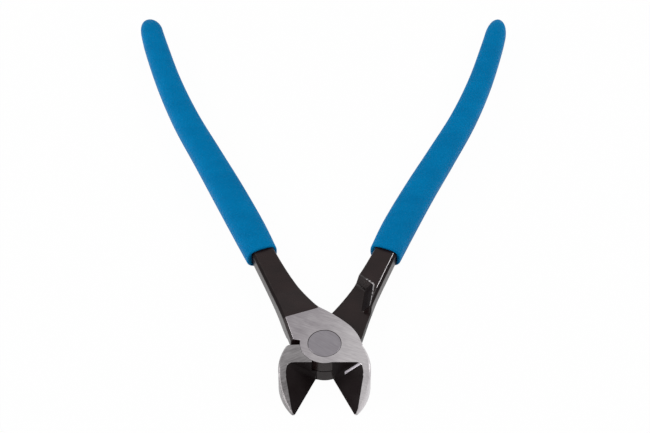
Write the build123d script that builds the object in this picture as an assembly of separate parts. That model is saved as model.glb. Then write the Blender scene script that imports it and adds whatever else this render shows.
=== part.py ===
from build123d import *
from math import asin, cos, degrees, radians, sin, sqrt, tan
import os

# Tile nippers: two lapped steel levers on one flush rivet, with a thick
# plastic sleeve on each handle. Millimetres.
# Z is the pivot axis and z = 0 is the flat underside of the head. The jaws
# point to -Y and the handles to +Y. The tool is modelled part way open.
# The front lever has the left handle, the upper lap plate and the right jaw.
# The rear lever has the right handle, the lower lap plate and the left jaw.
# Bearings are degrees seen from above, clockwise from +Y.

# Head
head_thickness = 12.0
lap_gap = 0.1
boss_radius = 10.2
boss_clearance = 0.1

# Stop: a face on each plate that the other lever's shoulder would meet
stop_bearing = 279.5
stop_radius = 14.3
shoulder_bearing = 93.2
shoulder_radius = 15.9
waist = (15.4, 0.3)

# Nose: the rounded back edge of the lap plate, over the other handle
nose_corner = (10.6, 9.4)
nose_bow = 0.5
nose_side_bow = 0.6
crotch = (-1.95, 19.15)

# Rivet
rivet_head_radius = 7.0
rivet_head_depth = 2.5
rivet_shank_radius = 5.0
rivet_clearance = 0.05
rivet_rim_chamfer = 0.25

# Jaw, right-hand one
edge_heel_bearing = 159.2
edge_tip_bearing = 156.3
edge_tip_radius = 29.8
edge_land = 0.3
toe = (13.6, -27.9)
toe_round = 0.45
jaw_half_width = 19.05
jaw_widest_y = -14.2
jaw_rim_chamfer = 0.7
pocket_wall_inset = 0.5
pocket_slope = 49.6
pocket_fillet = 2.0
relief_width = 5.3
ramp_start_gap = 0.15
ramp_bend_radius = 10.0
ramp_slope = 36.0

# Handle, left-hand one. The neck runs from the head to the sleeve.
handle_thickness = 8.0
outer_chamfer = 1.2
inner_chamfer = 0.5
neck_outer = [(-15.9, 8.6), (-19.3, 19.8), (-24.7, 34.6)]
neck_inner = [(-15.7, 40.5), (-9.6, 29.8)]
grip_start = (-26.3, 51.7)
grip_run_lengths = [16.4, 22.7, 23.5, 23.9, 23.9, 23.9, 13.8]
grip_run_bearings = [-22.0, -24.1, -25.4, -24.8, -21.0, -16.4, -13.4]
tang_front_width = 9.6
tang_end_width = 6.4
tang_end_gap = 12.0

# Flat of the head: it ends in a straight line across the handle, and the
# handle's own face falls away from there, with a soft bend at its foot.
flat_end = (-17.6, 13.5)
flat_fall_length = 15.0
fall_foot_radius = 25.0

# Lap recess in each handle, where the other lever's neck swings in
recess_corner = (-20.9, 33.3)
recess_rib_end = (-17.7, 9.0)
recess_step_bearing = 48.4
recess_wall_slope = 40.0
recess_corner_round = 2.0
recess_floor_round = 3.0

# Sleeve
grip_widths = [13.4, 14.2, 13.6, 12.7, 11.7, 10.8, 10.3, 8.8]
grip_thicknesses = [11.2, 11.4, 11.4, 11.2, 10.8, 10.3, 9.9, 9.0]
grip_corner_share = 0.42
grip_clearance = 0.05
grip_mouth_round = 0.9

# Worked out from the sizes above
mid_plane = head_thickness / 2
lap_top = mid_plane + lap_gap / 2
jaw_bore_radius = boss_radius + boss_clearance
pocket_wall_y = pocket_wall_inset - boss_radius
ramp_start_y = pocket_wall_y - ramp_start_gap
relief_start_y = boss_clearance / 2 - sqrt(boss_radius**2 - relief_width**2)
handle_bottom = mid_plane - handle_thickness / 2
handle_drop = head_thickness - (mid_plane + handle_thickness / 2)
neck_length = Vector(*grip_start).length
far = 400.0
touch = 0.01
seat = (Align.CENTER, Align.CENTER, Align.MIN)


def at(radius, bearing):
    """Point at a distance and bearing from the pivot."""
    return (radius * sin(radians(bearing)), radius * cos(radians(bearing)))


def bowed(start, end, bow):
    """Arc between two points that bulges to the left of the way it runs."""
    start_v = Vector(*start)
    end_v = Vector(*end)
    side = (end_v - start_v).normalized().rotate(Axis.Z, 90)
    return ThreePointArc(start_v, (start_v + end_v) * 0.5 + side * bow, end_v)


def grip_line():
    """Middle line of the left handle inside its sleeve, in plan."""
    points = [Vector(*grip_start)]
    for length, bearing in zip(grip_run_lengths, grip_run_bearings):
        points.append(points[-1] + Vector(*at(length, bearing)))
    return Spline(*points)


def tang_side(line, sign, extra):
    """Points along one side of the tang; sign is +1 for the inner side."""
    last = 1 - tang_end_gap / line.length
    points = []
    for share in (0, 0.2, 0.4, 0.6, 0.8, 1):
        width = tang_front_width + (tang_end_width - tang_front_width) * share
        along = line % (share * last)
        side = Vector(along.Y, -along.X)
        points.append(line @ (share * last) + side * sign * (width / 2 + extra))
    return points


def handle_face(extra=0.0):
    """Plan of the neck and the tang, grown by extra."""
    line = grip_line()
    outer = tang_side(line, -1, extra)
    inner = tang_side(line, 1, extra)
    stop_corner = at(stop_radius, stop_bearing)
    outer_side = Spline(stop_corner, *neck_outer, *outer)
    inner_side = Spline(*reversed(inner), *neck_inner, crotch)
    tang_end = Line(outer[-1], inner[-1])
    base = Polyline(crotch, (0, 0), stop_corner)
    return make_face([outer_side, tang_end, inner_side, base])


def plate_face():
    """Plan of the upper lap plate."""
    shoulder = at(shoulder_radius, shoulder_bearing)
    wall_bearing = 90 + degrees(asin(-pocket_wall_y / boss_radius))
    wall_end = at(boss_radius, wall_bearing)
    boss_side = at(boss_radius, (wall_bearing + stop_bearing) / 2)
    edges = [
        bowed(crotch, nose_corner, nose_bow),
        bowed(nose_corner, waist, nose_side_bow),
        Polyline(waist, shoulder, (boss_radius, pocket_wall_y), wall_end),
        ThreePointArc(wall_end, boss_side, at(boss_radius, stop_bearing)),
        Polyline(at(boss_radius, stop_bearing), at(stop_radius, stop_bearing), crotch),
    ]
    return make_face(edges)


def top_fall():
    """Block above the handle's falling face, which starts at the flat's end."""
    along = (Vector(*crotch) - Vector(*flat_end)).normalized()
    origin = Vector(flat_end[0], flat_end[1], head_thickness)
    profile = Plane(origin=origin, x_dir=along.rotate(Axis.Z, 90), z_dir=along)
    foot = (flat_fall_length, -handle_drop)
    handle_top = (far, -handle_drop)
    outline = [
        FilletPolyline((0, 0), foot, handle_top, radius=fall_foot_radius),
        Polyline(handle_top, (far, far), (0, far), (0, 0)),
    ]
    return extrude(profile * make_face(outline), amount=far, both=True)


def lap_recess():
    """Block that clears the other lever's plate and its swinging neck."""
    corner = Vector(*recess_corner)
    step_side = corner + Vector(*at(far, recess_step_bearing))
    outline = Polyline(
        corner,
        recess_rib_end,
        (-far, -far),
        (far, -far),
        step_side,
        close=True,
    )
    mouth = Pos(0, 0, handle_bottom) * make_face(outline)
    block = extrude(mouth, amount=lap_top - handle_bottom, taper=recess_wall_slope)
    upright = block.edges().filter_by(is_near_recess_corner)
    block = fillet(upright, recess_corner_round)
    floor = block.faces().sort_by(Axis.Z)[-1]
    return fillet(floor.edges().filter_by(is_near_recess), recess_floor_round)


def is_near_recess_corner(edge):
    """The sloping edge between the recess's two walls."""
    corner = Vector(*recess_corner, mid_plane)
    rises = edge.bounding_box().size.Z > 0.1
    return rises and (edge.center() - corner).length < handle_thickness


def is_near_recess(edge):
    """A floor edge beside one of the recess's two walls."""
    return edge.center().Y > 0 and edge.center().X < boss_radius


def is_side_wall(face):
    """One of the two curved side walls of the neck and tang."""
    return face.geom_type != GeomType.PLANE and face.bounding_box().size.Y > neck_length


def is_side_edge(edge):
    """An edge along the top or the bottom of a side wall."""
    box = edge.bounding_box()
    on_top = box.min.Z > head_thickness - handle_drop - touch
    on_bottom = box.max.Z < handle_bottom + touch
    return on_top or on_bottom


def lever_half():
    """Front lever without its jaw: lap plate, neck and tang."""
    plan = Pos(0, 0, handle_bottom) * (plate_face() + handle_face())
    body = extrude(plan, amount=head_thickness - handle_bottom)
    body = body - top_fall() - lap_recess()
    outer_wall = body.faces().filter_by(is_side_wall).sort_by(Axis.X)[0]
    body = chamfer(outer_wall.edges().filter_by(is_side_edge), outer_chamfer)
    inner_wall = body.faces().filter_by(is_side_wall).sort_by(Axis.X)[-1]
    return chamfer(inner_wall.edges().filter_by(is_side_edge), inner_chamfer)


def jaw_face():
    """Plan of the right-hand jaw, outside the other lever's boss."""
    heel = at(jaw_bore_radius, edge_heel_bearing)
    tip = at(edge_tip_radius, edge_tip_bearing)
    shoulder_in = at(jaw_bore_radius, shoulder_bearing)
    shoulder_out = at(shoulder_radius, shoulder_bearing)
    bore_side = at(jaw_bore_radius, (shoulder_bearing + edge_heel_bearing) / 2)
    edges = [
        Line(heel, tip),
        bowed(tip, toe, -toe_round),
        ThreePointArc(toe, (jaw_half_width, jaw_widest_y), shoulder_out),
        Line(shoulder_out, shoulder_in),
        ThreePointArc(shoulder_in, bore_side, heel),
    ]
    return make_face(edges)


def ramp_cut():
    """Block above the jaws, whose top bends down towards the tips."""
    slope = radians(ramp_slope)
    bend_y = ramp_start_y - ramp_bend_radius * sin(slope)
    bend_z = head_thickness - ramp_bend_radius * (1 - cos(slope))
    middle_y = ramp_start_y - ramp_bend_radius * sin(slope / 2)
    middle_z = head_thickness - ramp_bend_radius * (1 - cos(slope / 2))
    end_z = bend_z - far * tan(slope)
    outline = [
        ThreePointArc((ramp_start_y, head_thickness), (middle_y, middle_z), (bend_y, bend_z)),
        Polyline((bend_y, bend_z), (bend_y - far, end_z), (bend_y - far, far),
                 (ramp_start_y, far), (ramp_start_y, head_thickness)),
    ]
    return extrude(Plane.YZ * make_face(outline), amount=far, both=True)


def pocket_cut():
    """Wedge above the right jaw's bevel, closed by the upright end wall."""
    heel = Vector(*at(jaw_bore_radius, edge_heel_bearing))
    tip = Vector(*at(edge_tip_radius, edge_tip_bearing))
    along = (tip - heel).normalized()
    section = Plane(origin=heel, x_dir=along.rotate(Axis.Z, 90), z_dir=along)
    rise = far * tan(radians(pocket_slope))
    outline = Polyline((-far, edge_land), (0, edge_land), (far, edge_land + rise),
                       (-far, edge_land + rise), close=True)
    wedge = extrude(section * make_face(outline), amount=far, both=True)
    front_of_wall = Pos(0, pocket_wall_y - far / 2, 0) * Box(far, far, far)
    block = wedge & front_of_wall
    crease = block.edges().filter_by(is_crease)
    return fillet(crease, pocket_fillet)


def is_crease(edge):
    """The sloping edge where the pocket's end wall meets its bevel."""
    along = edge.tangent_at(0.5)
    return abs(along.X) > 0.1 and abs(along.Z) > 0.1 and abs(along.Y) < 0.01


def jaw():
    """Right-hand jaw, with its bevel facing up and its edge at the underside."""
    body = extrude(jaw_face(), amount=head_thickness) - ramp_cut()
    outer_wall = body.faces().sort_by(Axis.X)[-1]
    rim = outer_wall.edges().filter_by(lambda edge: edge.bounding_box().max.Z > head_thickness / 4)
    rim = rim.filter_by(lambda edge: abs(edge.tangent_at(0.5).Z) < 0.9)
    body = chamfer(rim, jaw_rim_chamfer)
    return body - pocket_cut()


def jaw_corner_relief():
    """Block that takes the feather edge off the left jaw beside the boss."""
    block = Box(relief_width, boss_radius, head_thickness, align=Align.MAX)
    return Pos(0, relief_start_y, head_thickness + lap_top) * block


def rivet_body(extra=0.0):
    """Flush rivet with a broad head at each end, grown by extra."""
    depth = rivet_head_depth + extra
    shank = Cylinder(rivet_shank_radius + extra, head_thickness, align=seat)
    lower_head = Cylinder(rivet_head_radius + extra, depth, align=seat)
    upper_head = Pos(0, 0, head_thickness - depth) * lower_head
    return shank + lower_head + upper_head


def rivet():
    """The rivet itself, with the rim of each head broken."""
    body = rivet_body()
    rims = body.edges().filter_by(GeomType.CIRCLE).sort_by(Axis.Z)
    return chamfer([rims[0], rims[-1]], rivet_rim_chamfer)


def flipped(shape):
    """The same forging turned over about the length of the tool."""
    return shape.rotate(Axis((0, 0, mid_plane), (0, 1, 0)), 180)


def grip_section(line, share, width, thickness):
    """Rounded section of the sleeve, square to its middle line."""
    along = line % share
    plane = Plane(
        origin=(line @ share) + Vector(0, 0, mid_plane),
        x_dir=Vector(along.Y, -along.X),
        z_dir=along,
    )
    return plane * RectangleRounded(width, thickness, thickness * grip_corner_share)


def grip_tip(line):
    """Round end of the sleeve: its last section swung half a turn."""
    width = grip_widths[-1]
    thickness = grip_thicknesses[-1]
    end = line @ 1
    along = line % 1
    inner_half = Plane(
        origin=end + Vector(0, 0, mid_plane),
        x_dir=Vector(along.Y, -along.X),
        z_dir=along,
    ) * (Pos(width / 2, 0) * Rectangle(width, thickness * 2))
    section = grip_section(line, 1, width, thickness) & inner_half
    return revolve(section, Axis(end, (0, 0, 1)), revolution_arc=180)


def tang_space():
    """The tang grown by the sleeve's clearance, for cutting the sleeve."""
    low = handle_bottom - grip_clearance
    height = handle_thickness + 2 * grip_clearance
    return extrude(Pos(0, 0, low) * handle_face(grip_clearance), amount=height)


def grip():
    """Left sleeve, open at its mouth and round at its far end."""
    line = grip_line()
    count = len(grip_widths)
    sections = []
    for index, (width, thickness) in enumerate(zip(grip_widths, grip_thicknesses)):
        sections.append(grip_section(line, index / (count - 1), width, thickness))
    body = loft(sections)
    mouth = body.faces().filter_by(GeomType.PLANE).sort_by(Axis.Y)[0]
    body = fillet(mouth.edges(), grip_mouth_round)
    return body + grip_tip(line) - tang_space()


os.makedirs("parts", exist_ok=True)
rivet_hole = rivet_body(rivet_clearance)
half = lever_half()
right_jaw = jaw()
left_jaw = mirror(right_jaw, about=Plane.YZ) - jaw_corner_relief()
front_lever = half + right_jaw - rivet_hole
rear_lever = flipped(half) + left_jaw - rivet_hole
front_grip = grip()
rear_grip = flipped(front_grip)
nodes = {
    "front_lever": front_lever,
    "rear_lever": rear_lever,
    "rivet": rivet(),
    "front_grip": front_grip,
    "rear_grip": rear_grip,
}
for name, shape in nodes.items():
    export_step(shape, f"parts/{name}.step")
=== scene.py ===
# %% [markdown]
# # Tile nippers
#
# Tile nippers bite small pieces off the edge of a ceramic tile. The real tool has five pieces:
# two forged steel levers that cross at the head, one rivet that they turn on, and a vinyl sleeve
# on each handle. The CAD frame holds those five pieces at their true size, and this lesson
# dresses each of them. Blender works in metres, so sizes are written in millimetres and
# multiplied by MM.

# %% Load the frame
import math

import bmesh
import bpy
from mathutils import Matrix, Vector
from mathutils.bvhtree import BVHTree


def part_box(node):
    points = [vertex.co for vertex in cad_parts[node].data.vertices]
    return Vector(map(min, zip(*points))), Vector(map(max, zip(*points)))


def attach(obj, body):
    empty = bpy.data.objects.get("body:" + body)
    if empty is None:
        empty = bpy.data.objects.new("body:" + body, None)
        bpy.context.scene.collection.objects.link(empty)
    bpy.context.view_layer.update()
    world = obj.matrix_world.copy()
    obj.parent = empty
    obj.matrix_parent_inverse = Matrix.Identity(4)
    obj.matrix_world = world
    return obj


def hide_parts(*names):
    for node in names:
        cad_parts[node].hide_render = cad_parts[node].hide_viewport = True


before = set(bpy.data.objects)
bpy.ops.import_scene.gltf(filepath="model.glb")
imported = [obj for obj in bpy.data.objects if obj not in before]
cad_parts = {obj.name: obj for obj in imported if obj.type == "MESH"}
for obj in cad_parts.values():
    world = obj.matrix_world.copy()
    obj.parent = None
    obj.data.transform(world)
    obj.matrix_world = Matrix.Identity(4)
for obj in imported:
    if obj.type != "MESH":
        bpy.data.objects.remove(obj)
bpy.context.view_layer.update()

MM = 0.001
print("pieces in the frame:", sorted(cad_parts))

# %% [markdown]
# ## Camera
#
# The tool lies flat, and the viewer stands in front of its jaws and looks down on it. The camera
# is placed by its distance and its height above the pivot, because those two set how much the
# handles seem to shrink as they run away. A long lens keeps that effect small. Building the
# camera first means that every later choice can be judged in the real view.

# %% Camera
pivot_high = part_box("rivet")[1]
pivot_top = Vector((0, 0, pivot_high.z))
view_distance = 1076.4 * MM
view_elevation = math.radians(52.35)
pivot_below_centre = math.radians(2.795)
view_side_step = 0.2 * MM
view_turn = math.radians(-0.12)
lens_length = 143.83
sensor_width = 36.0
nearest_seen = 50 * MM


def make_camera():
    """Camera near the tool's middle plane, tilted so that the pivot sits below the middle."""
    data = bpy.data.cameras.new("camera")
    data.lens = lens_length
    data.sensor_width = sensor_width
    data.clip_start = nearest_seen
    camera = bpy.data.objects.new("camera", data)
    turn = Matrix.Rotation(view_turn, 3, "Z")
    back = turn @ Vector((0, -math.cos(view_elevation), math.sin(view_elevation)))
    side = turn @ Vector((view_side_step, 0, 0))
    camera.location = pivot_top + back * view_distance + side
    camera.rotation_euler = (math.pi / 2 - view_elevation + pivot_below_centre, 0, view_turn)
    bpy.context.scene.collection.objects.link(camera)
    bpy.context.scene.camera = camera
    return camera


camera = make_camera()
print("camera stands", round(camera.location.length, 3), "m from the origin")

# %% [markdown]
# ## Helpers for node materials
#
# A procedural material is a small graph: coordinates go into a texture, and the texture drives a
# colour, a roughness or a bump height. Every finish here takes the same few steps, so each step
# is written once. `streaks` matters most: it is a noise stretched along one direction, which is
# what a belt or a wheel leaves behind. `spread` and `tint` turn a noise into a number or a
# colour, and `bump` turns it into relief. Every mesh here sits at the origin, so object
# coordinates are places on the real tool.

# %% Node helpers
noise_span = (0.3, 0.7)


def new_material(name):
    """Material with one Principled shader; gives the material and the shader node."""
    material = bpy.data.materials.new(name)
    material.use_nodes = True
    return material, material.node_tree.nodes["Principled BSDF"]


def add(owner, kind, inputs=(), **settings):
    """Node of a kind, with its settings and input values, in a material's or world's graph."""
    node = owner.node_tree.nodes.new(kind)
    for name, value in settings.items():
        setattr(node, name, value)
    for name, value in dict(inputs).items():
        node.inputs[name].default_value = value
    return node


def wire(owner, source, target):
    """Joins an output socket to an input socket."""
    owner.node_tree.links.new(source, target)


def streaks(material, size, turn=0.0, detail=2.0):
    """Noise stretched along one direction in plan; size is a mark's length and width in mm."""
    length, width = size
    place = add(material, "ShaderNodeTexCoord")
    mapping = add(material, "ShaderNodeMapping", vector_type="TEXTURE")
    mapping.inputs["Rotation"].default_value = (0, 0, turn)
    mapping.inputs["Scale"].default_value = (length * MM, width * MM, width * MM)
    texture = add(material, "ShaderNodeTexNoise", {"Scale": 1.0, "Detail": detail})
    wire(material, place.outputs["Object"], mapping.inputs["Vector"])
    wire(material, mapping.outputs["Vector"], texture.inputs["Vector"])
    return texture.outputs["Fac"]


def spread(material, value, low, high, span=noise_span):
    """Stretches a noise value, which mostly lies in span, over low to high."""
    node = add(material, "ShaderNodeMapRange", {"From Min": span[0], "From Max": span[1]})
    node.inputs["To Min"].default_value = low
    node.inputs["To Max"].default_value = high
    wire(material, value, node.inputs["Value"])
    return node.outputs["Result"]


def tint(material, value, dark, light, span=noise_span):
    """Colour that runs from dark to light as a noise value rises."""
    mix = add(material, "ShaderNodeMix", data_type="RGBA")
    mix.inputs["A"].default_value = (*dark, 1)
    mix.inputs["B"].default_value = (*light, 1)
    wire(material, spread(material, value, 0.0, 1.0, span), mix.inputs["Factor"])
    return mix.outputs["Result"]


def bump(material, shader, layers):
    """Chains bump nodes, one for each (height, depth in mm), into the shader's normal."""
    below = None
    for height, depth in layers:
        node = add(material, "ShaderNodeBump", {"Strength": 1.0, "Distance": depth * MM})
        wire(material, height, node.inputs["Height"])
        if below:
            wire(material, below, node.inputs["Normal"])
        below = node.outputs["Normal"]
    wire(material, below, shader.inputs["Normal"])


# %% [markdown]
# ## Black oxide
#
# The forged parts of the levers are blackened in a hot salt bath. The skin is thin, a little
# brown, and neither matt nor glossy. It could be a flat dark grey, but then the necks look like
# plastic. Two noises make it steel: a broad one for the uneven bath, and a fine one for the
# grain that shot blasting leaves under the skin. The painted shade is the same skin made the
# same way, greyer and with hardly any shine. It darkens the pockets, seams and recesses, and the
# walls that the lamps reach least.

# %% Black oxide
oxide_dark, oxide_light = (0.0105, 0.0052, 0.0052), (0.0185, 0.0094, 0.0092)
# Painted shade: a greyer, nearly matt copy of the oxide, for places where shade falls.
shade_dark, shade_light = (0.0115, 0.0080, 0.0084), (0.0170, 0.0132, 0.0136)
oxide_shine, shade_shine = 0.26, 0.03
oxide_roughness = (0.24, 0.38)
cloud_size, cloud_depth = (9.0, 6.0), 0.03
grain_size, grain_depth = (0.35, 0.35), 0.012


def make_black_oxide(name, dark, light, shine):
    """Blackened forged steel; shine says how much light the skin gives back."""
    material, shader = new_material(name)
    cloud = streaks(material, cloud_size, detail=4.0)
    grain = streaks(material, grain_size, detail=3.0)
    wire(material, tint(material, cloud, dark, light), shader.inputs["Base Color"])
    wire(material, spread(material, grain, *oxide_roughness), shader.inputs["Roughness"])
    shader.inputs["Specular IOR Level"].default_value = shine
    bump(material, shader, [(cloud, cloud_depth), (grain, grain_depth)])
    return material


black_oxide = make_black_oxide("black_oxide", oxide_dark, oxide_light, oxide_shine)
painted_shade = make_black_oxide("painted_shade", shade_dark, shade_light, shade_shine)
print("black finishes:", black_oxide.name, "and", painted_shade.name)

# %% [markdown]
# ## Ground steel
#
# After blackening, the flat of the head and the outside of the jaws are ground bright. Grinding
# leaves thousands of parallel scratches, and the wheel never bites evenly. An image could hold
# this, but it would repeat and blur. Here three noises are made: soft patches some millimetres
# wide, narrow marks some millimetres long, and hair scratches. Patches and marks set the tone,
# hairs set the gloss, and marks and hairs give the relief. On top of that the tone drifts slowly
# over each lever, a painted light: the front lever grows lighter to the right, and the rear lever
# darker towards its jaw's tip. The rear lever's steel is also a darker copy of the front lever's,
# a painted shade for the faces that the lamps light less.

# %% Ground steel
grind_turn = math.radians(-24)
rivet_turn = math.radians(-36)
upper_dark, upper_light = (0.351, 0.322, 0.342), (0.712, 0.682, 0.692)
# Painted shade: the rear lever's steel is a darker copy of the front lever's.
lower_shaded_dark, lower_shaded_light = (0.177, 0.166, 0.169), (0.562, 0.538, 0.549)
rivet_dark, rivet_light = (0.265, 0.243, 0.268), (0.409, 0.387, 0.414)
# Painted shade: the rivet's rim is a darker steel, for the shade in the groove round it.
rim_shade_dark, rim_shade_light = (0.15, 0.138, 0.15), (0.268, 0.254, 0.268)
# Painted light: lighter to the right on the front lever, darker towards the rear jaw's tip.
upper_painted_light, lower_painted_light, no_painted_light = (26.0, -8.0, 0.0), (0.0, 16.0, 0.0), (0.0, 0.0, 0.0)
painted_light_limit = 0.30
tone_span = (0.35, 1.45)
patch_size, patch_share = (5.0, 3.5), 0.6
mark_size, mark_depth = (5.0, 0.45), 0.004
hair_size, hair_depth = (2.5, 0.10), 0.003
ground_roughness = (0.28, 0.44)


def blend_of(material, first, second, share):
    """First value, plus a share of the second."""
    node = add(material, "ShaderNodeMath", operation="MULTIPLY_ADD")
    wire(material, second, node.inputs[0])
    node.inputs[1].default_value = share
    wire(material, first, node.inputs[2])
    return node.outputs["Value"]


def drifted(material, value, drift, limit):
    """Value that changes by so much for each metre along X, Y and Z, up to a limit."""
    place = add(material, "ShaderNodeTexCoord")
    node = add(material, "ShaderNodeVectorMath", operation="DOT_PRODUCT")
    node.inputs[1].default_value = drift
    wire(material, place.outputs["Object"], node.inputs[0])
    change = spread(material, node.outputs["Value"], -limit, limit, span=(-limit, limit))
    return blend_of(material, value, change, 1.0)


def make_ground_steel(name, turn, dark, light, drift):
    """Ground steel whose tone may drift lighter along X, Y and Z, as painted light and shade."""
    material, shader = new_material(name)
    patches = streaks(material, patch_size, turn, detail=2.0)
    marks = streaks(material, mark_size, turn, detail=4.0)
    hairs = streaks(material, hair_size, turn, detail=3.0)
    uneven = blend_of(material, marks, patches, patch_share)
    tone = drifted(material, uneven, drift, painted_light_limit)
    wire(material, tint(material, tone, dark, light, tone_span), shader.inputs["Base Color"])
    wire(material, spread(material, hairs, *ground_roughness), shader.inputs["Roughness"])
    shader.inputs["Metallic"].default_value = 1.0
    bump(material, shader, [(marks, mark_depth), (hairs, hair_depth)])
    return material


lit_upper_steel = make_ground_steel(
    "lit_upper_ground_steel", grind_turn, upper_dark, upper_light, upper_painted_light
)
shaded_lower_steel = make_ground_steel(
    "shaded_lower_ground_steel", -grind_turn, lower_shaded_dark, lower_shaded_light, lower_painted_light
)
rivet_steel = make_ground_steel("rivet_steel", rivet_turn, rivet_dark, rivet_light, no_painted_light)
shaded_rivet_rim = make_ground_steel("shaded_rivet_rim", grind_turn, rim_shade_dark, rim_shade_light, no_painted_light)
steels = (lit_upper_steel, shaded_lower_steel, rivet_steel, shaded_rivet_rim)
print("ground finishes:", [steel.name for steel in steels])

# %% [markdown]
# ## Worn edge
#
# Where a hand, a pocket or the other lever rubs, the black skin goes first along the corners.
# A worn corner is a patchy mix: bare steel, then a fleck of black, then steel again. The mask is
# a noise with a steep threshold, and it drives the metallic value, the colour and the roughness
# together, so that each spot is wholly one or the other. The noise drifts up along X, so a
# corner near the sleeve is rubbed quite bare, and one near the head keeps most of its black.

# %% Worn edge
worn_bare = (0.40, 0.385, 0.39)
worn_drift, worn_limit = (60.0, 0.0, 0.0), 2.0
worn_span = (1.58, 1.76)
worn_roughness = (0.46, 0.40)
worn_size, worn_depth = (1.6, 1.1), 0.01


def make_worn_edge():
    """Black oxide that is rubbed through to bare steel in patches."""
    material, shader = new_material("worn_edge")
    patches = streaks(material, worn_size, detail=4.0)
    rubbed = drifted(material, patches, worn_drift, worn_limit)
    colour = tint(material, rubbed, oxide_dark, worn_bare, span=worn_span)
    bare = spread(material, rubbed, 0.0, 1.0, span=worn_span)
    wire(material, colour, shader.inputs["Base Color"])
    wire(material, bare, shader.inputs["Metallic"])
    wire(material, spread(material, patches, *worn_roughness), shader.inputs["Roughness"])
    bump(material, shader, [(patches, worn_depth)])
    return material


worn_edge = make_worn_edge()
print("worn finish:", worn_edge.name)

# %% [markdown]
# ## Levers
#
# Each lever is one forging: handle, lap plate and jaw. The CAD node has the right shape, but its
# corners are knife sharp, and no real corner is. Modelling the forging again by hand would risk
# its size, so the lesson copies the node's mesh, welds it, and rounds the corners with a Bevel
# modifier.
#
# Both handles come from the same forging, turned over, so one set of rules serves both necks.
# The rules speak of the rear lever, and a place on the front lever is turned over first.

# %% Sizes of the head
head_thickness = pivot_high.z / MM
lap_height = head_thickness / 2
lap_gap = 0.1
lap_floor = lap_height - lap_gap / 2
rivet_radius = pivot_high.x / MM
boss_radius = 10.2
boss_front_y = -boss_radius / 2
jaw_start_y = -0.9
pocket_wall_y = -9.7
toe_y = -27.0
print("head thickness", round(head_thickness, 2), "mm, rivet radius", round(rivet_radius, 2), "mm")

# %% Places on the rear lever's neck
handle_top = 10.0
recess_corner = Vector((20.9, 33.3))
recess_step = Vector((-7.5, 6.6))
rib_end = Vector((19.4, 21.6))
rib_foot_y = 20.2


def turned_over(place, is_direction=False):
    """Place in mm, or direction, on the same forging turned over about the tool's length."""
    height = -place.z if is_direction else head_thickness - place.z
    return Vector((-place.x, place.y, height))


def off_line(spot, start, run):
    """Distance in plan from a spot to a straight line of a given run."""
    share = (spot - start).dot(run) / run.length_squared
    return (spot - start - run * min(max(share, 0.0), 1.0)).length


print("rib runs", round((recess_corner - rib_end).length, 1), "mm beside the recess")

# %% [markdown]
# ## Where each finish goes
#
# A forging is black all over at first. Then a wheel grinds the flats of the head and the outside
# of the jaws, and use rubs a few corners bare. The outer half of the crease in the right pocket
# takes bright steel, a painted highlight. A painted shade darkens the pockets behind the edges,
# the seam of the lap, and walls that the lamps reach least. Painting a mask by hand would work
# too, but a rule for each finish, told by where a face lies and which way it looks, can be read,
# and it still holds when a size changes.
#
# A face's normal is one long, so a "lean" below is the part of it that points along one axis.
# Names that end in off_boss or past_wall are margins in millimetres. The head comes first: it is
# symmetrical enough for both levers to share its rules as they lie.

# %% Rules for the head's finishes
BLACK, GROUND, WORN, PAINTED_SHADE, CREASE_HIGHLIGHT = range(5)
flat_tolerance, flat_lean = 0.15, 0.3
jaw_off_boss = 1.0
jaw_wall_lean = 0.15
jaw_top_lean, jaw_top_side_lean = 0.7, 0.2
toe_lean = 0.5
crease_reach, crease_past_wall = 2.5, 0.1
crease_front_lean, crease_up_lean = (0.5, 0.88), 0.1
highlight_crease_x = 8.35
pocket_off_boss, pocket_past_wall = 0.4, 0.2
underside_lean = 0.5
seam_reach = 0.30


def is_head_flat(centre, normal):
    """The ground flats of the head, at its very top and its very underside."""
    on_top = centre.z > head_thickness - flat_tolerance
    on_bottom = centre.z < flat_tolerance
    return (on_top and normal.z > flat_lean) or (on_bottom and normal.z < -flat_lean)


def is_jaw_outside(centre, normal):
    """The jaws' outer walls, rims, sloping tops and toes, but not their pockets."""
    if centre.y > jaw_start_y or centre.xy.length < boss_radius + jaw_off_boss:
        return False
    faces_out = normal.x * math.copysign(1, centre.x) > jaw_wall_lean
    faces_up = abs(normal.x) < jaw_top_side_lean and normal.z > jaw_top_lean
    is_toe = centre.y < toe_y and normal.y < -toe_lean
    return faces_out or (faces_up and centre.y < pocket_wall_y) or is_toe


def is_crease(centre, normal):
    """The hollow corner between the right pocket's end wall and its bevel."""
    low, high = crease_front_lean
    beside_wall = pocket_wall_y - crease_reach < centre.y < pocket_wall_y + crease_past_wall
    looks_forward = low < -normal.y < high and normal.z > crease_up_lean
    return centre.x > 0 and beside_wall and looks_forward


def is_pocket(centre, normal):
    """Everything inside the jaws that the wheel can't reach."""
    is_inside = centre.y < pocket_wall_y + pocket_past_wall
    is_off_boss = centre.xy.length > boss_radius + pocket_off_boss
    return is_inside and is_off_boss and normal.z > -underside_lean


def is_lap_corner(centre):
    """The broken corners of the lap under the head's front, painted with shade along the seam."""
    return abs(centre.z - lap_height) < seam_reach and centre.y < boss_front_y


# %% [markdown]
# The neck has three more kinds of place. Its corners beside the recess, and the ridge up to the
# sleeve, are where a hand rubs. Its broad outer chamfers and the rib's inner wall take painted
# shade. So does the low wall on the rear lever's outer side, right behind the head, which lies in
# the head's shade. Only that lever shows it, so it is tested before anything is turned over.

# %% Rules for the neck's finishes
rub_reach, rub_depth = 0.8, 0.5
level_lean = 0.995
rub_side_lean = 0.1
ridge_lean = (0.85, 0.97)
chamfer_side_lean, chamfer_lean = 0.3, (0.4, 0.9)
rib_wall_lean, rib_past_corner = 0.35, 1.0
low_wall_lean = 0.3


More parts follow.
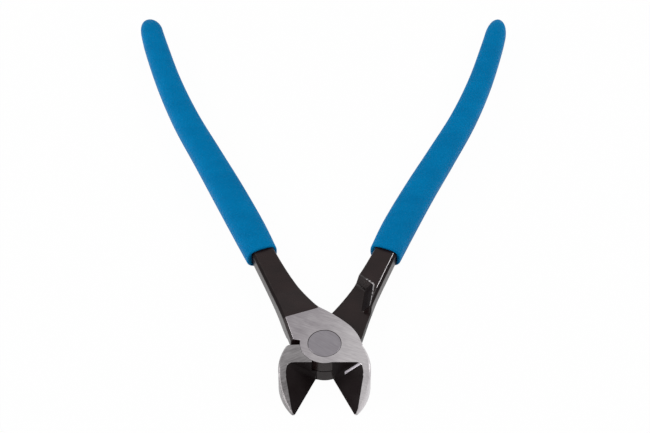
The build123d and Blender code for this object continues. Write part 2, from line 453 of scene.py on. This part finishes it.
def is_rubbed(centre, normal):
    """The rear neck's corners beside the recess, and its ridge up to the sleeve."""
    is_low = centre.z < handle_top - rub_depth or centre.y < rib_foot_y
    if is_low or normal.z > level_lean:
        return False
    beside_step = off_line(centre.xy, recess_corner, recess_step) < rub_reach
    beside_rib = off_line(centre.xy, recess_corner, rib_end - recess_corner) < rub_reach
    if normal.x < rub_side_lean and (beside_step or beside_rib):
        return True
    low, high = ridge_lean
    return normal.x > rub_side_lean and low < normal.z < high and centre.y > recess_corner.y


def is_outer_chamfer(centre, normal):
    """The broad chamfers along the outer side of the neck."""
    low, high = chamfer_lean
    on_outer_side = centre.x > 0 and centre.y > boss_radius and normal.x > chamfer_side_lean
    return on_outer_side and low < abs(normal.z) < high


def is_rib_wall(centre, normal):
    """The rib's inner wall, which takes painted shade in the recess."""
    beside_recess = rib_foot_y < centre.y < recess_corner.y + rib_past_corner
    return beside_recess and lap_floor < centre.z < handle_top and normal.x < -rib_wall_lean


def is_low_wall(centre, normal):
    """The rear lever's outer wall behind the head, as far as the end of the rib, in the head's
    shade.
    """
    return boss_radius / 2 < centre.y < rib_end.y and normal.x > low_wall_lean


def lever_finish(face, node):
    """Finish of one face of a lever."""
    centre, normal = face.calc_center_median() / MM, face.normal
    is_front = node == "front_lever"
    # The outer half of the right pocket's crease is a painted highlight in bright steel.
    if is_front and is_crease(centre, normal) and centre.x > highlight_crease_x:
        return CREASE_HIGHLIGHT
    if is_head_flat(centre, normal) or is_jaw_outside(centre, normal):
        return GROUND
    # Pockets and the seam of the lap take painted shade.
    if is_pocket(centre, normal) or is_lap_corner(centre):
        return PAINTED_SHADE
    # Painted shade on the low wall behind the rear head, the outer chamfers and the rib's wall.
    is_shaded = not is_front and is_low_wall(centre, normal)
    if is_front:
        centre, normal = turned_over(centre), turned_over(normal, is_direction=True)
    if is_rubbed(centre, normal):
        return WORN
    is_shaded = is_shaded or is_outer_chamfer(centre, normal) or is_rib_wall(centre, normal)
    return PAINTED_SHADE if is_shaded else BLACK


# %% [markdown]
# ## How far each corner is rounded
#
# A forged corner is soft, a ground one is crisp, and a cutting edge has to stay sharp. One bevel
# width for the whole lever would get two of the three wrong, so a rule gives each edge its own,
# again by where it lies and by the finishes on both sides of it. At the lap, where one lever
# slides on the other, only a hair comes off. The outward corners under the front of the head are
# broken wider, and together they show as the dark line of the seam.

# %% Rounding
forged_round = 0.35
ground_round = 0.13
lap_round = 0.06
seam_round = 0.24
corner_angle = math.radians(25)
bore_margin, boss_margin = 1.0, 0.3
lap_reach = 0.2
cutting_land, land_margin = 0.3, 0.1


def is_cutting_edge(edge):
    """An edge of the narrow land that does the cutting, at the jaws' underside."""
    top = max(vert.co.z for vert in edge.verts) / MM
    lowest_lean = min(face.normal.z for face in edge.link_faces)
    return top < cutting_land + land_margin and lowest_lean > -underside_lean


def lever_round(edge, node):
    """Rounding of one edge of a lever in mm, told by what it separates."""
    if not edge.is_manifold or edge.calc_face_angle() < corner_angle or is_cutting_edge(edge):
        return 0.0
    middle = (edge.verts[0].co + edge.verts[1].co) / 2 / MM
    if middle.xy.length < rivet_radius + bore_margin:
        return 0.0
    at_lap = abs(middle.z - lap_height) < lap_reach
    if at_lap and middle.y < boss_front_y and edge.is_convex:
        return seam_round
    if at_lap or middle.xy.length < boss_radius + boss_margin:
        return lap_round
    finishes = {lever_finish(face, node) for face in edge.link_faces}
    return ground_round if GROUND in finishes else forged_round


# %% [markdown]
# ## Cuts
#
# Two places need a cut before the corners are rounded. The rib beside the rear lever's recess is
# ground away short of the head, so it is cut across twice and its last stretch is pressed down to
# the floor. The crease of the right pocket is cut once, as only its outer half takes the painted
# highlight of bright steel. A Boolean could do both, but a bisected mesh keeps every other face as
# it was.

# %% Cuts
sliver_width = 0.06
cut_slack = 0.01


def cut_across(shape, faces, place, direction):
    """Cuts some faces of a shape along a plane, and keeps both sides."""
    edges = {edge for face in faces for edge in face.edges}
    verts = {vert for face in faces for vert in face.verts}
    parts = [*verts, *edges, *faces]
    bmesh.ops.bisect_plane(shape, geom=parts, plane_co=Vector(place) * MM, plane_no=direction)


def is_past_rib(spot):
    """A point that stands above the floor, between the rib's foot and the head."""
    is_near_head = spot.x > boss_radius and spot.y < rib_foot_y + cut_slack
    return is_near_head and spot.z > lap_floor - cut_slack


def end_rib(shape):
    """Ends the rear lever's rib short of the head, with a steep fall to the floor."""
    for cut_y in (rib_end.y, rib_foot_y):
        cut_across(shape, shape.faces[:], (0, cut_y, 0), (0, 1, 0))
    pressed = [vert for vert in shape.verts if is_past_rib(vert.co / MM)]
    for vert in pressed:
        vert.co.z = lap_floor * MM
    flattened = list({edge for vert in pressed for edge in vert.link_edges})
    bmesh.ops.dissolve_degenerate(shape, edges=flattened, dist=sliver_width * MM)
    shape.normal_update()


def cut_lever(shape, node):
    """Makes the cuts that each lever needs."""
    if node == "rear_lever":
        end_rib(shape)
        return
    hollow = [f for f in shape.faces if is_crease(f.calc_center_median() / MM, f.normal)]
    cut_across(shape, hollow, (highlight_crease_x, 0, 0), (1, 0, 0))


# %% [markdown]
# ## Copy and round a lever
#
# The CAD mesh is all triangles, split apart along its corners, and a bevel needs whole faces that
# share their edges. So the copy is welded, and its flat faces are joined again. The weights of
# its edges then tell one Bevel modifier how far to round each of them. The result is baked into
# the mesh at once, so that the new round corners get a finish too. A Weighted Normal modifier
# last keeps the shading off the flats, so that they look as flat as they were ground.

# %% Mesh of a piece
weld_distance = 0.001
shortest_edge = 0.01
flat_angle = math.radians(0.3)
round_steps = 3
stray_distance = 0.12


def welded_copy(node):
    """CAD node's mesh with its split corners welded and its flat faces whole again."""
    shape = bmesh.new()
    shape.from_mesh(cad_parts[node].data)
    bmesh.ops.remove_doubles(shape, verts=shape.verts, dist=weld_distance * MM)
    bmesh.ops.dissolve_degenerate(shape, edges=shape.edges, dist=shortest_edge * MM)
    bmesh.ops.dissolve_limit(shape, verts=shape.verts, edges=shape.edges, angle_limit=flat_angle)
    return shape


def round_corners(piece):
    """Rounds a piece's weighted edges and bakes the result into its mesh."""
    bevel = piece.modifiers.new("rounded corners", "BEVEL")
    bevel.limit_method = "WEIGHT"
    bevel.width = forged_round * MM
    bevel.segments = round_steps
    bevel.use_clamp_overlap = False
    graph = bpy.context.evaluated_depsgraph_get()
    piece.data = bpy.data.meshes.new_from_object(piece.evaluated_get(graph))
    piece.modifiers.clear()


def pull_strays_back(mesh, skin):
    """Puts a point that the bevel threw off the forging back on its skin."""
    for vert in mesh.vertices:
        spot, _, _, distance = skin.find_nearest(vert.co)
        if distance > stray_distance * MM:
            vert.co = spot


def new_piece(name, shape):
    """Object in the scene with a shape as its mesh; the shape is freed."""
    mesh = bpy.data.meshes.new(name)
    shape.to_mesh(mesh)
    shape.free()
    piece = bpy.data.objects.new(name, mesh)
    bpy.context.scene.collection.objects.link(piece)
    return piece


# %% Finish of a piece
speck_size = 0.002
shading_angle = math.radians(50)


def set_finishes(piece, node, finish_rule, finishes):
    """Each face's finish as the rule tells it, and smooth shading that keeps flats flat."""
    piece.data.materials.clear()
    for finish in finishes:
        piece.data.materials.append(finish)
    shape = bmesh.new()
    shape.from_mesh(piece.data)
    bmesh.ops.dissolve_degenerate(shape, edges=shape.edges, dist=speck_size * MM)
    for face in shape.faces:
        face.smooth = True
        face.material_index = finish_rule(face, node)
    shape.to_mesh(piece.data)
    shape.free()
    piece.data.set_sharp_from_angle(angle=shading_angle)
    normals = piece.modifiers.new("flat faces stay flat", "WEIGHTED_NORMAL")
    normals.keep_sharp = True


def rounded_piece(name, node, body, rules, finishes):
    """New piece for a CAD node, cut and rounded by rules, with its finishes set."""
    cut, round_rule, finish_rule = rules
    shape = welded_copy(node)
    cut(shape, node)
    shape.normal_update()
    weight = shape.edges.layers.float.new("bevel_weight_edge")
    for edge in shape.edges:
        edge[weight] = round_rule(edge, node) / forged_round
    skin = BVHTree.FromBMesh(shape)
    piece = new_piece(name, shape)
    round_corners(piece)
    pull_strays_back(piece.data, skin)
    set_finishes(piece, node, finish_rule, finishes)
    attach(piece, body)
    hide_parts(node)
    print(name, "has", len(piece.data.polygons), "faces")
    return piece


# %% Make the levers
lever_rules = (cut_lever, lever_round, lever_finish)
# The fifth finish, the rivet's bright steel, is the painted highlight in the crease.
front_finishes = [black_oxide, lit_upper_steel, worn_edge, painted_shade, rivet_steel]
rear_finishes = [black_oxide, shaded_lower_steel, worn_edge, painted_shade]
rounded_piece(
    "front_lever_forging", "front_lever", "front_half", lever_rules, front_finishes
)
rounded_piece(
    "rear_lever_forging", "rear_lever", "rear_half", lever_rules, rear_finishes
)

# %% [markdown]
# ## Rivet
#
# The rivet is set hot and ground off level with the head, so only a thin ring shows where it
# ends. The ring is real: the rivet's rim is broken all round, and the groove is in shade. A dark
# circle in the material could stand for it, but a rounded rim catches the light as the real one
# does. So the rim is rounded as the levers' corners are, and it takes a darker steel, a painted
# shade for the groove, while the flat keeps the wheel's marks.

# %% Rivet
rivet_round_width = ground_round / 2
rivet_flat_lean = 0.97


def leave_whole(shape, node):
    """The rivet needs no cut."""


def rivet_round(edge, node):
    """Every corner of the rivet gets the same small rounding."""
    return rivet_round_width if edge.calc_face_angle() > corner_angle else 0.0


def rivet_finish(face, node):
    """First finish on the two flats, second, a darker steel of painted shade, on the rim and
    shank.
    """
    return 0 if abs(face.normal.z) > rivet_flat_lean else 1


rivet_rules = (leave_whole, rivet_round, rivet_finish)
rounded_piece(
    "pivot_rivet", "rivet", "rear_half", rivet_rules, [rivet_steel, shaded_rivet_rim]
)

# %% [markdown]
# ## Vinyl
#
# The sleeves are dipped vinyl: one strong blue, a soft gloss, and a pebbled skin that breaks up
# the highlights. The base colour barely changes, so the life of it is in the roughness and in
# two bumps, one for the pebble and one for the slow waves of a hand-dipped coat.

# %% Vinyl
vinyl_dark, vinyl_light = (0.0, 0.157, 0.374), (0.0, 0.181, 0.421)
vinyl_shine = 0.02
vinyl_roughness = (0.30, 0.50)
wave_size, wave_depth = (16.0, 7.0), 0.05
pebble_size, pebble_depth = (0.8, 0.8), 0.50


def make_vinyl():
    """Blue dipped vinyl with a pebbled skin."""
    material, shader = new_material("blue_vinyl")
    wave = streaks(material, wave_size, detail=2.0)
    pebble = streaks(material, pebble_size, detail=4.0)
    wire(material, tint(material, wave, vinyl_dark, vinyl_light), shader.inputs["Base Color"])
    wire(material, spread(material, pebble, *vinyl_roughness), shader.inputs["Roughness"])
    shader.inputs["Specular IOR Level"].default_value = vinyl_shine
    bump(material, shader, [(wave, wave_depth), (pebble, pebble_depth)])
    return material


blue_vinyl = make_vinyl()
print("sleeve finish:", blue_vinyl.name)

# %% [markdown]
# ## Sleeves
#
# A sleeve is a tube that follows the bent handle. It could be a curve with a bevel profile, but
# its width and its thickness change at different rates, so the lesson sweeps its own rings along
# the handle's middle line. The line is a chain of short runs, each with a length and a bearing,
# and a smooth curve through their ends. Each end also has the sleeve's width and depth there.
#
# Dipping by hand never gives two equal sleeves. So each has its own small swells, on the inner
# and the outer side apart, and its own long nose. A nose's reach is how far it goes past the end
# of the middle line, and its lean is how far its tip lies to the inner side of it.

# %% Middle line of the left handle
sleeve_start = Vector((-26.3, 51.7))
run_lengths = [16.4, 22.7, 23.5, 23.9, 23.9, 23.9, 13.8]
run_bearings = [-22.0, -24.1, -25.4, -24.8, -21.0, -16.4, -13.4]
sleeve_widths = [13.4, 14.2, 13.6, 12.7, 11.7, 10.8, 10.3, 9.5]
sleeve_depths = [11.2, 11.4, 11.4, 11.2, 10.8, 10.3, 9.9, 9.0]
left_swell = {
    "inner": [0.0, -0.2, 0.0, 0.2, 0.3, 0.5, 0.4, 0.3],
    "outer": [0.5, 0.6, 0.6, 0.2, 0.2, 0.0, 0.0, 0.0],
}
right_swell = {
    "inner": [0.6, 0.4, 0.1, -0.3, -0.6, -0.4, -0.4, -0.4],
    "outer": [-0.1, -0.2, -0.1, 0.2, 0.5, 0.4, 0.1, 0.0],
}
left_nose = {"length": 8.4, "reach": 3.8, "lean": -0.45}
right_nose = {"length": 11.6, "reach": 3.3, "lean": 0.3}


def line_points():
    """Knots of the middle line, in plan, in mm."""
    points = [sleeve_start]
    for length, bearing in zip(run_lengths, run_bearings):
        turn = math.radians(bearing)
        points.append(points[-1] + Vector((length * math.sin(turn), length * math.cos(turn))))
    return points


def smooth_between(values, place):
    """Catmull-Rom value at a place that counts knots; works on numbers and on vectors."""
    last = len(values) - 1
    knot = min(int(place), last - 1)
    share = place - knot
    before = values[knot - 1] if knot > 0 else values[0] * 2 - values[1]
    after = values[knot + 2] if knot + 2 <= last else values[last] * 2 - values[last - 1]
    start, end = values[knot], values[knot + 1]
    slope = (end - before) * 0.5
    next_slope = (after - start) * 0.5
    square, cube = share**2, share**3
    return (
        start * (2 * cube - 3 * square + 1)
        + slope * (cube - 2 * square + share)
        + end * (3 * square - 2 * cube)
        + next_slope * (cube - square)
    )


handle_line = line_points()
print("middle line ends at", [round(v, 1) for v in handle_line[-1]], "mm")

# %% [markdown]
# ## Sections of a sleeve
#
# Vinyl rounds off the bar of steel under it, so a section is neither an oval nor a rectangle but
# a soft mix of the two, a superellipse: its squareness is 2 for an oval and grows towards a
# rectangle. The mouth shows the bar itself, so there the section is a plain rectangle, a hair
# wider than the steel. Both kinds have the same number of points, so that a ring of one kind can
# be joined to a ring of the other.

# %% Sections
ring_points = 56
squareness, nose_squareness = 2.7, 2.1
tang_width, tang_depth = 9.6, 8.0
tang_gap = 0.06
tiny = 1e-6


def turns():
    """Cosine and sine of the turn at each point of a section."""
    angles = [2 * math.pi * index / ring_points for index in range(ring_points)]
    return [(math.cos(angle), math.sin(angle)) for angle in angles]


def soft_section(width, depth, shift, square=squareness):
    """Rectangle with very round corners, as (across, up) points, set off by shift."""
    points = []
    for cosine, sine in turns():
        across = math.copysign(abs(cosine) ** (2 / square), cosine) * width / 2
        up = math.copysign(abs(sine) ** (2 / square), sine) * depth / 2
        points.append((across + shift, up))
    return points


def tang_section():
    """Rectangle of the steel inside the mouth, with a point at each turn of a soft section."""
    half_width, half_depth = tang_width / 2 + tang_gap, tang_depth / 2 + tang_gap
    points = []
    for cosine, sine in turns():
        reach = min(half_width / max(abs(cosine), tiny), half_depth / max(abs(sine), tiny))
        points.append((cosine * reach, sine * reach))
    return points


def section_size(swell, place):
    """Width and depth of a sleeve at a place, and how far it sits to the inner side."""
    inner = smooth_between(swell["inner"], place)
    outer = smooth_between(swell["outer"], place)
    width = smooth_between(sleeve_widths, place) + inner + outer
    return width, smooth_between(sleeve_depths, place), (inner - outer) / 2


mouth_widths = [section_size(swell, 0)[0] for swell in (left_swell, right_swell)]
print("mouths are", [round(width, 1) for width in mouth_widths], "mm wide")

# %% [markdown]
# ## Rings along the handle
#
# Each ring stands square to the middle line. At the front the rings come out of the mouth along
# the steel, turn over a quarter-round lip and go back along the outer skin, so that the mouth is
# a real opening with a shadow in it. At the far end they shrink as half an ellipse does, turn
# rounder, and slide a little to one side.

# %% Rings
rings_per_run = 10
lip_radius, lip_steps = 0.9, 5
mouth_depth = 3.0
nose_steps = 12
look_ahead = 0.02


def spot_on_line(place):
    """Middle of the sleeve, its direction and its inner side, at a place along the line."""
    ahead = smooth_between(handle_line, min(place + look_ahead, len(run_lengths)))
    behind = smooth_between(handle_line, max(place - look_ahead, 0.0))
    along = (ahead - behind).normalized()
    return smooth_between(handle_line, place), along, Vector((along.y, -along.x))


def ring(place, advance, section):
    """Ring of points in mm, some way past a place along the line."""
    middle, along, side = spot_on_line(place)
    points = []
    for across, up in section:
        spot = middle + along * advance + side * across
        points.append(Vector((spot.x, spot.y, lap_height + up)))
    return points


def mouth_rings(swell):
    """Rings from deep inside the mouth, out over the lip and on to the outer skin."""
    width, depth, shift = section_size(swell, 0)
    rings = [ring(0, mouth_depth, tang_section()), ring(0, lip_radius / 2, tang_section())]
    for step in range(1, lip_steps + 1):
        turn = math.pi / 2 * step / lip_steps
        inset = lip_radius * (1 - math.sin(turn))
        section = soft_section(width - 2 * inset, depth - 2 * inset, shift)
        rings.append(ring(0, lip_radius * (1 - math.cos(turn)), section))
    return rings


def body_rings(swell, last_place):
    """Rings along the handle, from behind the lip to the start of the nose."""
    rings = []
    count = round(rings_per_run * last_place)
    for index in range(1, count + 1):
        place = last_place * index / count
        rings.append(ring(place, 0, soft_section(*section_size(swell, place))))
    return rings


def nose_rings(swell, nose, place):
    """Rings that close the far end as half an ellipse, leaning to one side."""
    width, depth, shift = section_size(swell, place)
    rings = []
    for step in range(1, nose_steps):
        turn = math.pi / 2 * step / nose_steps
        share, reach = math.cos(turn), math.sin(turn)
        square = squareness + (nose_squareness - squareness) * reach
        lean = shift + nose["lean"] * reach**2
        section = soft_section(width * share, depth * share, lean, square)
        rings.append(ring(place, nose["length"] * reach, section))
    return rings


print("a mouth takes", len(mouth_rings(left_swell)), "rings")

# %% [markdown]
# ## Skin the rings
#
# Four points of two neighbouring rings make one face, and a face closes each end of the row. The
# handles are one forging turned over, and so are their sleeves: the right one is swept along the
# left handle's line, with its own swells and nose, and then turned over as well.

# %% Make the sleeves


def skin_of(rings):
    """Mesh over a list of rings, closed at both ends."""
    shape = bmesh.new()
    loops = [[shape.verts.new(point * MM) for point in one] for one in rings]
    for one, other in zip(loops, loops[1:]):
        for index in range(ring_points):
            after = (index + 1) % ring_points
            shape.faces.new((one[index], one[after], other[after], other[index]))
    shape.faces.new(reversed(loops[0]))
    shape.faces.new(loops[-1])
    bmesh.ops.recalc_face_normals(shape, faces=shape.faces)
    for face in shape.faces:
        face.smooth = True
    return shape


def turn_shape_over(shape):
    """Turns a shape over about the tool's length."""
    for vert in shape.verts:
        vert.co = turned_over(vert.co / MM) * MM


def make_sleeve(name, node, body, swell, nose):
    """One sleeve; the right-hand one is made as the left one and then turned over."""
    nose_place = len(run_lengths) - (nose["length"] - nose["reach"]) / run_lengths[-1]
    handle_rings = mouth_rings(swell) + body_rings(swell, nose_place)
    shape = skin_of(handle_rings + nose_rings(swell, nose, nose_place))
    if node == "rear_grip":
        turn_shape_over(shape)
    piece = new_piece(name, shape)
    piece.data.materials.append(blue_vinyl)
    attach(piece, body)
    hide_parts(node)
    print(name, "has", len(piece.data.polygons), "faces")
    return piece


make_sleeve("front_sleeve", "front_grip", "front_half", left_swell, left_nose)
make_sleeve("rear_sleeve", "rear_grip", "rear_half", right_swell, right_nose)

# %% [markdown]
# ## Floor
#
# The tool lies on plain white paper in a light tent. The paper must look white without throwing
# too much light, so its material is mostly white glow for rays that come from the camera or from
# a reflection, and an ordinary matt white for the rays that light the tool. The rest keeps a
# faint shadow.

# %% Paper
paper_size = 4.0
paper_drop = 0.02
paper_glow = 0.975
paper_white = 0.85
paper_roughness, paper_shine = 0.9, 0.1


def seen_directly(material):
    """1 for rays from the camera, from a reflection or through glass, and 0 for the rest."""
    path = add(material, "ShaderNodeLightPath")
    first = add(material, "ShaderNodeMath", operation="MAXIMUM")
    second = add(material, "ShaderNodeMath", operation="MAXIMUM")
    wire(material, path.outputs["Is Camera Ray"], first.inputs[0])
    wire(material, path.outputs["Is Glossy Ray"], first.inputs[1])
    wire(material, first.outputs[0], second.inputs[0])
    wire(material, path.outputs["Is Transmission Ray"], second.inputs[1])
    return second.outputs[0]


def make_paper():
    """White paper that looks white to the camera and keeps a faint shadow."""
    material, shader = new_material("white_paper")
    shader.inputs["Base Color"].default_value = (paper_white, paper_white, paper_white, 1)
    shader.inputs["Roughness"].default_value = paper_roughness
    shader.inputs["Specular IOR Level"].default_value = paper_shine
    glow = add(material, "ShaderNodeEmission", {"Strength": 1.0})
    share = add(material, "ShaderNodeMath", operation="MULTIPLY")
    share.inputs[1].default_value = paper_glow
    wire(material, seen_directly(material), share.inputs[0])
    mix = add(material, "ShaderNodeMixShader")
    wire(material, share.outputs[0], mix.inputs[0])
    wire(material, shader.outputs[0], mix.inputs[1])
    wire(material, glow.outputs[0], mix.inputs[2])
    wire(material, mix.outputs[0], material.node_tree.nodes["Material Output"].inputs["Surface"])
    return material


bpy.ops.mesh.primitive_plane_add(size=paper_size, location=(0, 0, -paper_drop * MM))
floor = bpy.context.active_object
floor.name = "paper"
floor.data.materials.append(make_paper())
print("paper is", paper_size, "m wide")

# %% [markdown]
# ## Tent
#
# A tent is a soft white sky, and bright metal shows whatever stands around it. The tent is
# brightest near the horizon, so that walls and chamfers that look sideways come out lighter than
# the flats. Reflections see it whiter than the light it gives, so that ground steel stays bright
# while the vinyl keeps its colour, and the camera sees plain white past the edge of the paper.

# %% Tent
tent_level = 0.50
horizon_level, horizon_rise = 0.9, 0.35
mirror_white = 0.45
WHITE = (1, 1, 1, 1)


def make_world():
    """Soft tent, brightest low down, that looks white where the camera sees past the paper."""
    world = bpy.data.worlds.new("tent")
    world.use_nodes = True
    bpy.context.scene.world = world
    place = add(world, "ShaderNodeTexCoord")
    axes = add(world, "ShaderNodeSeparateXYZ")
    level = add(world, "ShaderNodeMapRange", {"From Max": horizon_rise, "To Min": horizon_level})
    level.inputs["To Max"].default_value = tent_level
    back = world.node_tree.nodes["Background"]
    back.inputs["Color"].default_value = WHITE
    white = add(world, "ShaderNodeBackground", {"Color": WHITE})
    path = add(world, "ShaderNodeLightPath")
    whiter = add(world, "ShaderNodeMath", operation="MULTIPLY_ADD")
    whiter.inputs[1].default_value = mirror_white
    mix = add(world, "ShaderNodeMixShader")
    wire(world, place.outputs["Generated"], axes.inputs["Vector"])
    wire(world, axes.outputs["Z"], level.inputs["Value"])
    wire(world, level.outputs["Result"], back.inputs["Strength"])
    wire(world, path.outputs["Is Glossy Ray"], whiter.inputs[0])
    wire(world, path.outputs["Is Camera Ray"], whiter.inputs[2])
    wire(world, whiter.outputs[0], mix.inputs[0])
    wire(world, back.outputs[0], mix.inputs[1])
    wire(world, white.outputs[0], mix.inputs[2])
    wire(world, mix.outputs[0], world.node_tree.nodes["World Output"].inputs["Surface"])
    return world


tent = make_world()
print("world:", tent.name)

# %% [markdown]
# ## Lamps
#
# An even tent alone makes everything look flat. Curved vinyl and rounded steel corners only show
# their form when something bright passes over them, so two soft boxes stand high on the left and
# the right. A low strip on the left reaches what looks outwards rather than up: the jaw's rim
# and the chamfers of the neck.

# %% Soft boxes
aim_point = Vector((0, 0.03, 0.005))
box_size, box_power = (0.5, 0.5), 3.6
strip_size, strip_power = (0.9, 0.16), 1.6
left_box_place = Vector((-0.80, 0.10, 0.55))
right_box_place = Vector((0.75, 0.25, 0.60))
strip_place = Vector((-0.88, -0.34, 0.10))


def soft_box(name, place, size, power):
    """Rectangular area light that looks at the tool."""
    data = bpy.data.lights.new(name, "AREA")
    data.shape = "RECTANGLE"
    data.size, data.size_y = size
    data.energy = power
    light = bpy.data.objects.new(name, data)
    light.location = place
    light.rotation_euler = (aim_point - place).to_track_quat("-Z", "Y").to_euler()
    bpy.context.scene.collection.objects.link(light)


soft_box("left_box", left_box_place, box_size, box_power)
soft_box("right_box", right_box_place, box_size, box_power)
soft_box("low_left_strip", strip_place, strip_size, strip_power)

# %% [markdown]
# ## Close the lesson
#
# Standard view transform keeps a colour as it is written.

# %% Finish
bpy.context.scene.view_settings.view_transform = "Standard"
